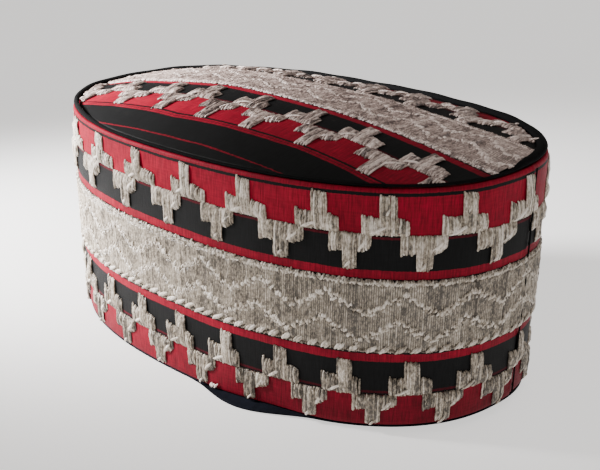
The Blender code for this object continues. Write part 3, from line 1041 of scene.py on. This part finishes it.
def edge_stitches(material):
    """Slanted cord stitches along the lower edge of the wall's silver band, shorter towards the seam."""
    count = int(round(AROUND / (5.3 * MM)))
    ways = SEAM_AT - AROUND + np.arange(count) * AROUND / count + rng.normal(0, 0.3, count) * MM
    shares = np.linspace(0, 1, 9)
    long_share = np.clip((ways + 70 * MM) / (-60 * MM), 0, 1)[:, None]
    length = (2.3 * MM + 2.6 * MM * long_share) * rng.uniform(0.85, 1.15, (count, 1))
    shape = np.sin(np.clip(shares, 0.03, 0.97) * math.pi) ** 0.6 * np.ones((count, 1))
    parts = []
    for shift, width, low in ((-0.55, 0.75, 0.0), (0.75, 0.80, 0.25)):
        way = ways[:, None] + shift * MM + length * (shares - 0.5)
        up = WALL_SILVER[0] + low * MM + 3.0 * MM * shares ** 0.9 + rng.normal(0, 0.12, (count, 1)) * MM
        base = 0.35 * MM + 0.62 * MM * shape
        tone = rng.uniform(0.55, 1.35, count)
        parts.append(strands(way, up, width * MM * shape, 0.45 * MM * shape, base, tone))
    add_threads("wall_edge_stitches", parts, on_wall, material)


def hem_knot(material):
    """A small light knot that hangs at the hem."""
    ways = (HEM_KNOT[0] + np.array((-1.3, -0.6, 0.1, 0.8, 1.4))) * MM
    ups = (HEM_KNOT[1] + np.array((0.2, -0.3, 0.4, -0.2, 0.3))) * MM
    places, quads, strand = knots(ways, ups, 2.0 * MM, 0.55 * MM, 0.75 * MM, 0.8)
    strand[:, 0] = 1.5
    add_threads("hem_knot", [(places, quads, strand)], on_wall, material)


def seam_thread(material):
    """Dark thread along the wall's seam, from the hem to the rim."""
    up = np.linspace(1.0 * MM, WALL_HEIGHT - 1.0 * MM, 60)[None]
    way = SEAM_AT - 0.5 * MM + 0.15 * MM * np.sin(up / (2.3 * MM))
    half_width = np.full_like(up, 0.42 * MM)
    base = np.full_like(up, 0.50 * MM)
    places, quads, strand = strands(way, up, half_width, 0.8 * half_width, base, np.zeros(1))
    make_piece("wall_seam_thread", on_wall(places), quads, material, places, strand)


def above_band(distance):
    return WALL_SILVER[1] + distance * UPPER_CLOSENESS


def below_band(distance):
    return WALL_SILVER[0] - distance


def near_band(distance):
    return PANEL_SILVER[0] - distance


def far_band(distance):
    return PANEL_SILVER[1] + distance


def motif_row(name, rows, to_up, place, material, reach=None):
    """One piece with the motifs of several rows. A row has its motifs, their form and their style."""
    parts = [motif_threads(motifs, form, style, to_up, reach) for motifs, form, style in rows]
    parts += [carry_stitches(motifs, form, style, to_up, reach) for motifs, form, style in rows]
    add_threads(name, parts, place, material)


def all_motifs(silver, rosy):
    hem_form = dict(OUTER_MOTIF, tip=28.3)
    upper = (
        (around_all(WALL_UPPER_INNER, 14), INNER_MOTIF, INVERTED),
        (around_all(WALL_UPPER_OUTER, 13), OUTER_MOTIF, UPRIGHT),
    )
    lower = (
        (around_all(WALL_LOWER_INNER, 15), INNER_MOTIF, UPRIGHT),
        (around_all(WALL_LOWER_OUTER, 15), hem_form, INVERTED),
    )
    near = (
        (along_panel(PANEL_INNER, 27.0), INNER_MOTIF, UPRIGHT),
        (along_panel(PANEL_OUTER, 27.0), OUTER_MOTIF, INVERTED),
    )
    far = (
        (along_panel(PANEL_FAR_INNER, 24.0), INNER_MOTIF, INVERTED),
        (along_panel(PANEL_FAR_OUTER, 24.0), OUTER_MOTIF, UPRIGHT),
    )
    motif_row("wall_upper_motifs", upper, above_band, on_wall, silver)
    motif_row("wall_lower_motifs", lower, below_band, on_wall, silver)
    motif_row("crown_near_motifs", near, near_band, on_panel, rosy, panel_reach)
    motif_row("crown_far_motifs", far, far_band, on_panel, rosy, panel_reach)


# Studio

def make_floor():
    mesh = bpy.data.meshes.new("floor")
    size = 6.0
    corners = [(-size, -size, 0), (size, -size, 0), (size, size, 0), (-size, size, 0)]
    mesh.from_pydata(corners, [], [(0, 1, 2, 3)])
    floor = bpy.data.objects.new("floor", mesh)
    bpy.context.scene.collection.objects.link(floor)
    material, tree, shader = new_material("floor_paper")
    place = add_node(tree, "TexCoord").outputs["Object"]
    tone = noise(tree, place, 3.0)
    greys = ((0.3, (0.52, 0.52, 0.52)), (0.7, (0.55, 0.55, 0.55)))
    tree.links.new(ramp(tree, tone, greys), shader.inputs["Base Color"])
    set_gloss(shader, 0.9, 0.1)
    shader.inputs["Emission Color"].default_value = (1.0, 0.98, 0.96, 1.0)
    shader.inputs["Emission Strength"].default_value = 0.98
    floor.data.materials.append(material)


def place_light(data, place, target):
    light = bpy.data.objects.new(data.name, data)
    light.location = place
    light.rotation_mode = "QUATERNION"
    light.rotation_quaternion = (Vector(target) - Vector(place)).to_track_quat("-Z", "Y")
    bpy.context.scene.collection.objects.link(light)


def camera_axes():
    back = Vector((
        math.sin(CAMERA_TURN) * math.cos(CAMERA_ABOVE),
        -math.cos(CAMERA_TURN) * math.cos(CAMERA_ABOVE),
        math.sin(CAMERA_ABOVE),
    ))
    right = (-back).cross(Vector((0, 0, 1))).normalized()
    up = right.cross(-back)
    turned_right = right * math.cos(CAMERA_ROLL) + up * math.sin(CAMERA_ROLL)
    turned_up = up * math.cos(CAMERA_ROLL) - right * math.sin(CAMERA_ROLL)
    return turned_right, turned_up, back


def make_camera():
    right, up, back = camera_axes()
    data = bpy.data.cameras.new("camera")
    data.lens = CAMERA_LENS
    data.sensor_width = SENSOR_WIDTH
    data.clip_start = 0.02
    data.clip_end = 50.0
    camera = bpy.data.objects.new("camera", data)
    turn = Matrix((right, up, back)).transposed().to_4x4()
    camera.matrix_world = Matrix.Translation(CAMERA_TARGET + back * CAMERA_DISTANCE) @ turn
    bpy.context.scene.collection.objects.link(camera)
    bpy.context.scene.camera = camera


def make_light():
    world = bpy.data.worlds.new("studio")
    world.use_nodes = True
    background = world.node_tree.nodes["Background"]
    background.inputs["Color"].default_value = (1.0, 0.93, 0.86, 1.0)
    background.inputs["Strength"].default_value = 0.18
    bpy.context.scene.world = world
    data = bpy.data.lights.new("key", "SPOT")
    data.energy = 138.0
    data.color = (1.0, 0.98, 0.97)
    data.spot_size = math.radians(42)
    data.spot_blend = 1.0
    data.shadow_soft_size = 0.07
    place_light(data, (-0.46, -0.36, 0.32), (-0.19, -0.03, 0.05))
    data = bpy.data.lights.new("above", "AREA")
    data.energy = 0.30
    data.size = 0.16
    data.color = (1.0, 0.97, 0.95)
    place_light(data, (0.16, 0.06, 0.36), (0.07, 0.01, 0.10))


def main():
    silver = silver_thread("wall_thread", WALL_SILVER_TONES, WALL_THREAD_PAINTED_LIGHT)
    rosy = silver_thread("crown_thread", PANEL_SILVER_TONES, PANEL_THREAD_PAINTED_LIGHT)
    black = plain_cloth("welt_black", COLOURS["welt"], 0.9)
    wall_cloth(striped_cloth("wall_stripes", WALL_SILVER, WALL_STRIPES, WALL_CLOTH_PAINTED_SHADE))
    panel_cloth(striped_cloth("crown_stripes", PANEL_SILVER, PANEL_STRIPES, PANEL_CLOTH_PAINTED_SHADE))
    roll(black)
    lining(plain_cloth("lining_navy", COLOURS["navy"], 0.85))
    wall_silver(silver)
    panel_silver(rosy)
    edge_stitches(silver)
    hem_knot(rosy)
    seam_thread(black)
    all_motifs(silver, rosy)
    make_floor()
    make_camera()
    make_light()


main()
